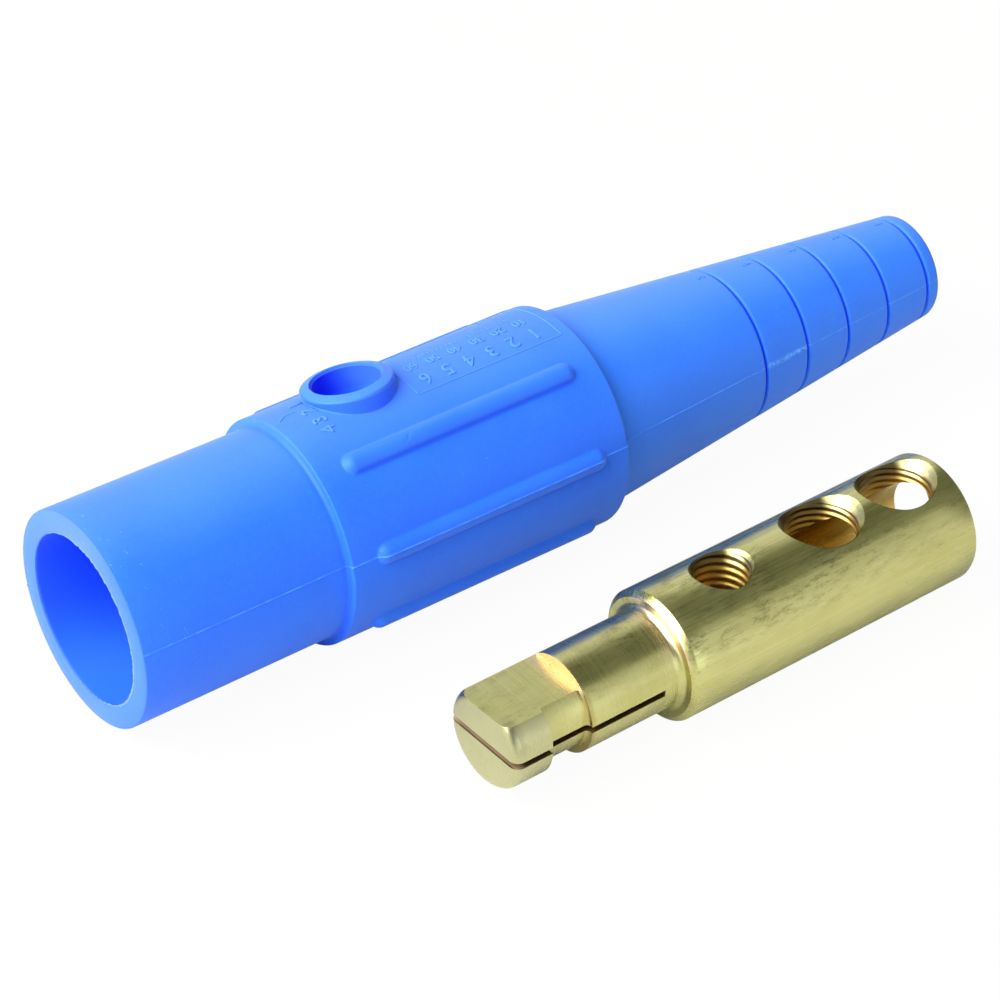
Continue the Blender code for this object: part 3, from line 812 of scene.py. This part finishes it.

# %% Rubber: painted shade at the front step and round the collar, and paler raised marks
STEP_SHADE, HOLE_SHADE_BLUE = (0.006, 0.085, 0.9, 1), (0.0003, 0.008, 0.95, 1)
FOOT_SHADE, PALE_MARK_BLUE = (0.004, 0.075, 0.92, 1), (0.3, 0.7, 1.0, 1)
# Painted shade in the hollow corner at the foot of the front step.
step_corner_shade = times(tree, band(tree, x, 40.5, 42.0, 42.4, 42.55), ramp(tree, from_axis, 21.6, 21.1))
base = paint(tree, base, step_corner_shade, STEP_SHADE, 0.35)
from_collar = distance(tree, minus(tree, x, COLLAR_X), own_y)
# Painted shade inside the collar's hole, deepest on its side towards the mouth.
collar_hole_shade = times(tree, ramp(tree, from_collar, 6.72, 6.56), ramp(tree, own_z, 24.1, 23.6),
                  ramp(tree, z, 0.0, 5.0), ramp(tree, x, 65.0, 56.8, 0.35, 1.0))
base = paint(tree, base, collar_hole_shade, HOLE_SHADE_BLUE)
# Painted shade on the collar's outer wall, down to its foot.
collar_wall_shade = times(tree, band(tree, from_collar, 8.0, 8.4, 9.1, 9.4), ramp(tree, own_z, 23.2, 22.9),
                  ramp(tree, from_axis, BARREL_R + 0.05, BARREL_R + 0.2))
base = paint(tree, base, collar_wall_shade, FOOT_SHADE, 0.55)
# The raised marks on top of the barrel are painted a paler blue.
pale_on_marks = times(tree, ramp(tree, from_axis, BARREL_R + 0.03, BARREL_R + 0.07),
               ramp(tree, own_z, 18.6, 19.4), ramp(tree, from_collar, 9.8, 10.1))
base = paint(tree, base, pale_on_marks, PALE_MARK_BLUE, 0.12)

# %% Rubber: painted shade under the ribs, and painted light at the root of the tail
RIB_SHADE, ROOT_LIGHT_TONE = (0.004, 0.06, 0.95, 1), (0.03, 0.24, 1.0, 1)
FOOT_FROM_RIB, FOOT_FADES, FOOT_FULL = math.radians(5.2), math.radians(1.9), math.radians(0.3)
# Painted shade: a dark line along the lower foot of each rib.
around = away(tree, maths(tree, "ARCTAN2", own_y, own_z))
feet = [ramp(tree, away(tree, around, math.radians(angle) + FOOT_FROM_RIB), FOOT_FADES, FOOT_FULL)
        for angle in (44.7, 90, 135)]
rib_foot_shade = times(tree, highest(tree, *feet), band(tree, x, 48.5, 50.0, 96.8, 98.0))
base = paint(tree, base, rib_foot_shade, RIB_SHADE, 0.5)
# Painted light: the root of the tail is painted paler where the barrel's step shades it from the left lamp.
root = times(tree, ramp(tree, x, 110.0, 104.6), ramp(tree, from_axis, 20.5, 19.8))
base = paint(tree, base, root, ROOT_LIGHT_TONE, 0.35)

# %% Rubber: the ring at the mouth with painted shade on one side, its flash, and painted shade in the grooves
RING_TONE, RING_SIDE_SHADE = (0.085, 0.15, 0.97, 1), (0.012, 0.130, 0.97, 1)
FLASH_TONE, GROOVE_SHADE = (0.45, 0.65, 0.98, 1), (0.001, 0.04, 1.0, 1)
# The ring face is painted a redder blue, and painted shade darkens its side towards the contact.
ring_face = ramp(tree, x, 0.4, 0.2)
base = paint(tree, base, ring_face, RING_TONE, 0.5)
base = paint(tree, base, times(tree, ring_face, ramp(tree, y, -3.0, -14.0)), RING_SIDE_SHADE, 0.5)
skin_edge = times(tree, ramp(tree, x, 0.5, 0.3), ramp(tree, from_axis, MOUTH_BORE_R + 0.05, MOUTH_BORE_R - 0.1))
base = paint(tree, base, skin_edge, FLASH_TONE, 0.25)
# Painted shade in the bottom of each cutting groove.
groove_bottom_shade = highest(tree, *(ramp(tree, away(tree, x, g - 0.06), 0.42, 0.30) for g in GROOVES))
base = paint(tree, base, groove_bottom_shade, GROOVE_SHADE, 0.8)

# %% Rubber: satin skin, and the pieces made of it
skin_height = plus(tree, times(tree, grain(tree, position, 3200.0), 0.6),
                   times(tree, grain(tree, position, 420.0), 0.8))
satin = ramp(tree, clouds, 0.25, 0.75, 0.46, 0.56)
join_results(tree, shader, base, satin, skin_height, strength=0.25, depth=0.06 * MM)
for piece in (sleeve, marks, skin, burr):
    piece.data.materials.clear()
    piece.data.materials.append(rubber)
    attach(piece, "root")

# %% [markdown]
# ## Brass, drawn and turned
# The body still has the skin of a drawn bar, with faint lines along it, and the nose and shank were
# turned, with fine rings round them. Both are a noise that is stretched one way. A Mapping node lays the
# pattern along the contact, which lies 1.24 degrees off the row's axis.

# %% Brass: plain colour and tool lines
BRASS, BRASS_CLOUD = (0.51, 0.475, 0.195, 1), (0.605, 0.57, 0.262, 1)
BRASS_LINE = (0.48, 0.45, 0.17, 1)
brass, tree, shader, position = new_material("contact_brass", Metallic=1.0, Roughness=0.3)
back = Matrix.Rotation(-CONTACT_YAW, 4, "Z") @ Matrix.Translation(-CONTACT_CORNER)
own = add(tree, "ShaderNodeMapping", {"Vector": position, "Location": back.to_translation(),
                                      "Rotation": (0, 0, -CONTACT_YAW)}).outputs[0]
x, y, z = in_millimetres(tree, own)
from_axis = distance(tree, y, z)


def stretched(scale_x, scale_across, detail=3.0):
    """Noise with one scale along the contact and another across it."""
    scales = (scale_x, scale_across, scale_across)
    vector = add(tree, "ShaderNodeMapping", {"Vector": own, "Scale": scales}).outputs[0]
    return grain(tree, vector, 1.0, detail, 0.6)


drawn, rings = stretched(14.0, 1900.0), stretched(3800.0, 26.0)
lines = add(tree, "ShaderNodeMix", {0: ramp(tree, x, -0.6, -0.2), 2: rings, 3: drawn}).outputs[0]
clouds = stretched(60.0, 190.0, 4.0)
base = paint(tree, BRASS, ramp(tree, clouds, 0.3, 0.7), BRASS_CLOUD)
base = paint(tree, base, ramp(tree, lines, 0.35, 0.65), BRASS_LINE, 0.3)

# %% Brass: stains and specks
STAIN, BRASS_SPECK = (0.17, 0.16, 0.06, 1), (0.3, 0.24, 0.1, 1)
stains = times(tree, ramp(tree, stretched(260.0, 900.0, 6.0), 0.46, 0.6),
               ramp(tree, stretched(1500.0, 2600.0), 0.4, 0.6, 0.3, 1.0),
               ramp(tree, stretched(45.0, 90.0, 2.0), 0.4, 0.6, 0.1, 1.0),
               ramp(tree, z, 2.5, 8.5), ramp(tree, x, 55.0, 25.0, 0.5, 1.0))
base = paint(tree, base, stains, STAIN, 0.7)
specks, hairs = worn(tree, own, Speck_Scale=800.0, Speck_Level=0.73, Hair_Scale=300.0, Hair_Width=0.012,
                     Hair_Level=0.6)
base = paint(tree, base, specks, BRASS_SPECK, 0.4)

# %% Brass: inside the holes, with painted shade on their walls
HOLE_TONE, WALL_SHADE, BORE_GOLD = (0.66, 0.54, 0.33, 1), (0.075, 0.042, 0.012, 1), (0.60, 0.37, 0.07, 1)
along_holes = ramp(tree, x, 2.0, 6.0)
in_holes = times(tree, ramp(tree, from_axis, 12.2, 11.2), along_holes)
base = paint(tree, base, in_holes, HOLE_TONE, 0.4)
hole_wall_shades, hole_skins = [], []
for _, hole_x, wall_r, rim_r, slope, *_ in HOLES:
    cone_start = BODY_R - (rim_r - wall_r) / slope
    along = minus(tree, x, hole_x)
    widening = times(tree, highest(tree, minus(tree, z, cone_start), 0.0), slope)
    inside_hole = ramp(tree, minus(tree, distance(tree, along, y), widening), wall_r + 0.12, wall_r + 0.02)
    # Painted shade on the left and near walls of each hole, in its upper half.
    left = times(tree, ramp(tree, along, 0.87 * wall_r, 0.66 * wall_r),
                 ramp(tree, along, -0.97 * wall_r, -0.6 * wall_r, 0.5, 1.0))
    near = times(tree, ramp(tree, y, 0.8, -0.8), ramp(tree, z, cone_start + 0.3, cone_start - 0.1, 0.0, 0.8))
    hole_wall_shades.append(times(tree, inside_hole, highest(tree, left, near)))
    hole_skins.append(inside_hole)
upper_half = ramp(tree, z, 0.0, 3.0)
base = paint(tree, base, times(tree, highest(tree, *hole_wall_shades), upper_half), WALL_SHADE, 0.90)
down_hole = times(tree, ramp(tree, from_axis, 11.8, 8.0), along_holes)
base = paint(tree, base, down_hole, BORE_GOLD, 0.75)

# %% Brass: painted warm glints in two corners, and painted shade and light in the saw cut
WARM_GLINT, CUT_SHADE, CUT_FRONT_LIT = (0.80, 0.60, 0.40, 1), (0.26, 0.15, 0.08, 1), (0.72, 0.56, 0.36, 1)
upper_side = ramp(tree, minus(tree, z, times(tree, y, 0.35)), 6.8, 10.0)
corner = times(tree, band(tree, x, -5.0, -0.6, -0.3, 0.0), upper_side)
step_face = times(tree, band(tree, x, -24.5, -20.9, -20.8, -20.4), ramp(tree, z, 6.0, 6.7))
base = paint(tree, base, maths(tree, "ADD", corner, step_face, clamp=True), WARM_GLINT, 0.7)
in_cut = times(tree, ramp(tree, away(tree, z), 0.72, 0.68), ramp(tree, from_axis, 9.3, 9.1),
               band(tree, x, -37.5, -37.2, -4.5, -4.3))
# Painted shade inside the saw cut, and near the nose a paler tan painted where its lower face catches light.
base = paint(tree, base, in_cut, CUT_SHADE)
base = paint(tree, base, times(tree, in_cut, ramp(tree, x, -35.0, -36.5)), CUT_FRONT_LIT)

# %% Brass: the nose with painted shade on its near edge, and the step behind the neck
NOSE_TONE, EDGE_SHADE, RING_STAIN = (0.47, 0.45, 0.33, 1), (0.16, 0.17, 0.10, 1), (0.42, 0.30, 0.10, 1)
nose_skin = times(tree, ramp(tree, x, -28.5, -30.5), ramp(tree, z, 6.72, 6.55), minus(tree, 1.0, in_cut))
base = paint(tree, base, nose_skin, NOSE_TONE, 0.5)
# Painted shade on the nose's rounded edge, on its near side.
nose_edge_shade = times(tree, band(tree, x, -37.6, -36.8, -36.2, -34.0), ramp(tree, y, -3.5, -5.5),
                  ramp(tree, z, 0.0, 4.5))
base = paint(tree, base, nose_edge_shade, EDGE_SHADE, 0.3)
ring_stain = times(tree, band(tree, x, -22.4, -21.4, -20.6, -19.8), ramp(tree, z, 6.6, 5.5))
base = paint(tree, base, ring_stain, RING_STAIN, 0.55)

# %% Brass: shine and scratches
satin = plus(tree, ramp(tree, lines, 0.3, 0.7, 0.24, 0.36), ramp(tree, clouds, 0.3, 0.7, -0.03, 0.05),
             times(tree, in_cut, 0.25), times(tree, highest(tree, *hole_skins), upper_half, 0.13))
scratch_height = times(tree, minus(tree, lines, times(tree, hairs, 0.5)),
                       minus(tree, 1.0, times(tree, in_holes, 0.9)))
join_results(tree, shader, base, satin, scratch_height, strength=0.35, depth=0.05 * MM)
contact.data.materials.clear()
contact.data.materials.append(brass)
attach(contact, "root")

# %% [markdown]
# ## Floor and light
# The parts lie on a plain white floor that runs out of sight. Brass shows whatever stands round it, so
# the lamps are placed by what the metal should show: a broad panel in front, a lit wall behind, and
# a darker gap above, which gives the contact its dark band. The white of the floor and the sky is
# for the eye and for mirrors only, so it adds little light to the parts.

# %% Floor
FLOOR_RADIUS, FLOOR_GAP = 4.0, 0.02 * MM
WHITE, PAPER = (1, 1, 1, 1), (0.71, 0.71, 0.65, 1)
SEEN_SHARE, MIRRORED_SHARE = 0.955, 0.08
floor_mesh = bmesh.new()
bmesh.ops.create_circle(floor_mesh, cap_ends=True, segments=96, radius=FLOOR_RADIUS)
bmesh.ops.translate(floor_mesh, vec=(0, 0, -FLOOR_GAP), verts=floor_mesh.verts)
floor = object_from(floor_mesh, "floor")
paper = bpy.data.materials.new("white_floor")
paper.use_nodes = True
tree = paper.node_tree
tree.nodes.clear()
plain = add(tree, "ShaderNodeBsdfDiffuse", {"Color": PAPER})
glow = add(tree, "ShaderNodeEmission", {"Color": WHITE, "Strength": 1.0})
path = add(tree, "ShaderNodeLightPath").outputs
share = plus(tree, times(tree, path["Is Camera Ray"], SEEN_SHARE),
             times(tree, path["Is Glossy Ray"], MIRRORED_SHARE))
blend = add(tree, "ShaderNodeMixShader", {0: share, 1: plain.outputs[0], 2: glow.outputs[0]})
add(tree, "ShaderNodeOutputMaterial", {"Surface": blend.outputs[0]})
floor.data.materials.append(paper)
floor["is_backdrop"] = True

# %% Sky and lamps
world = bpy.data.worlds.new("studio")
bpy.context.scene.world = world
world.use_nodes = True
tree = world.node_tree
tree.nodes.clear()
path = add(tree, "ShaderNodeLightPath").outputs
dim = add(tree, "ShaderNodeBackground", {"Color": (0.9, 1, 0.76, 1), "Strength": 0.2})
white = add(tree, "ShaderNodeBackground", {"Color": WHITE, "Strength": 1.0})
direction = add(tree, "ShaderNodeTexCoord").outputs["Generated"]
height = add(tree, "ShaderNodeSeparateXYZ", {0: direction}).outputs[2]
mirrored = times(tree, path["Is Glossy Ray"], ramp(tree, height, 0.25, 0.05, 0.0, 0.45))
share = maths(tree, "ADD", path["Is Camera Ray"], mirrored, clamp=True)
sky = add(tree, "ShaderNodeMixShader", {0: share, 1: dim.outputs[0], 2: white.outputs[0]})
add(tree, "ShaderNodeOutputWorld", {"Surface": sky.outputs[0]})


def softbox(name, place, size, radiance, colour=(1, 1, 1)):
    """A square lamp that faces the parts. Its power follows from how bright its panel looks."""
    lamp = bpy.data.lights.new(name, "AREA")
    lamp.shape, lamp.size, lamp.size_y = "RECTANGLE", size[0], size[1]
    lamp.energy, lamp.color = radiance * math.pi * size[0] * size[1], colour
    ob = bpy.data.objects.new(name, lamp)
    ob.location = place
    ob.rotation_euler = (Vector((0, 0, 0.02)) - Vector(place)).to_track_quat("-Z", "Y").to_euler()
    bpy.context.scene.collection.objects.link(ob)


softbox("key_left", (-0.95, 0.10, 0.85), (1.3, 1.3), 8.0)
softbox("panel_front", (0.55, -0.95, 0.40), (1.0, 0.90), 0.67)
softbox("fill_front", (-0.10, -1.0, 0.18), (0.9, 0.5), 1.32, (0.82, 0.92, 1.0))
softbox("wall_back", (0.55, 0.95, 0.62), (1.2, 0.95), 0.9)

# %% [markdown]
# ## Camera
# The camera looks down at 36 degrees from the front left with a long lens, so lines hardly converge.

# %% Camera
camera = bpy.data.cameras.new("camera")
camera.lens, camera.sensor_width = 126.0, 36.0
camera.clip_start, camera.clip_end = 0.01, 50.0
eye = bpy.data.objects.new("camera", camera)
right, up = (0.80177814, -0.59762179, 0.0), (0.35459857, 0.47573463, 0.80494497)
behind = (-0.48105266, -0.64538729, 0.59334947)
turn = Matrix((right, up, behind)).transposed().to_4x4()
eye.matrix_world = Matrix.Translation((-0.32391, -0.40381, 0.401447)) @ turn
bpy.context.scene.collection.objects.link(eye)
bpy.context.scene.camera = eye
bpy.context.scene.view_settings.view_transform = "Standard"

# %% Sizes and finish
low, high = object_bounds()
print("visual box in mm:", [round((h - l) / MM, 2) for l, h in zip(low, high)])
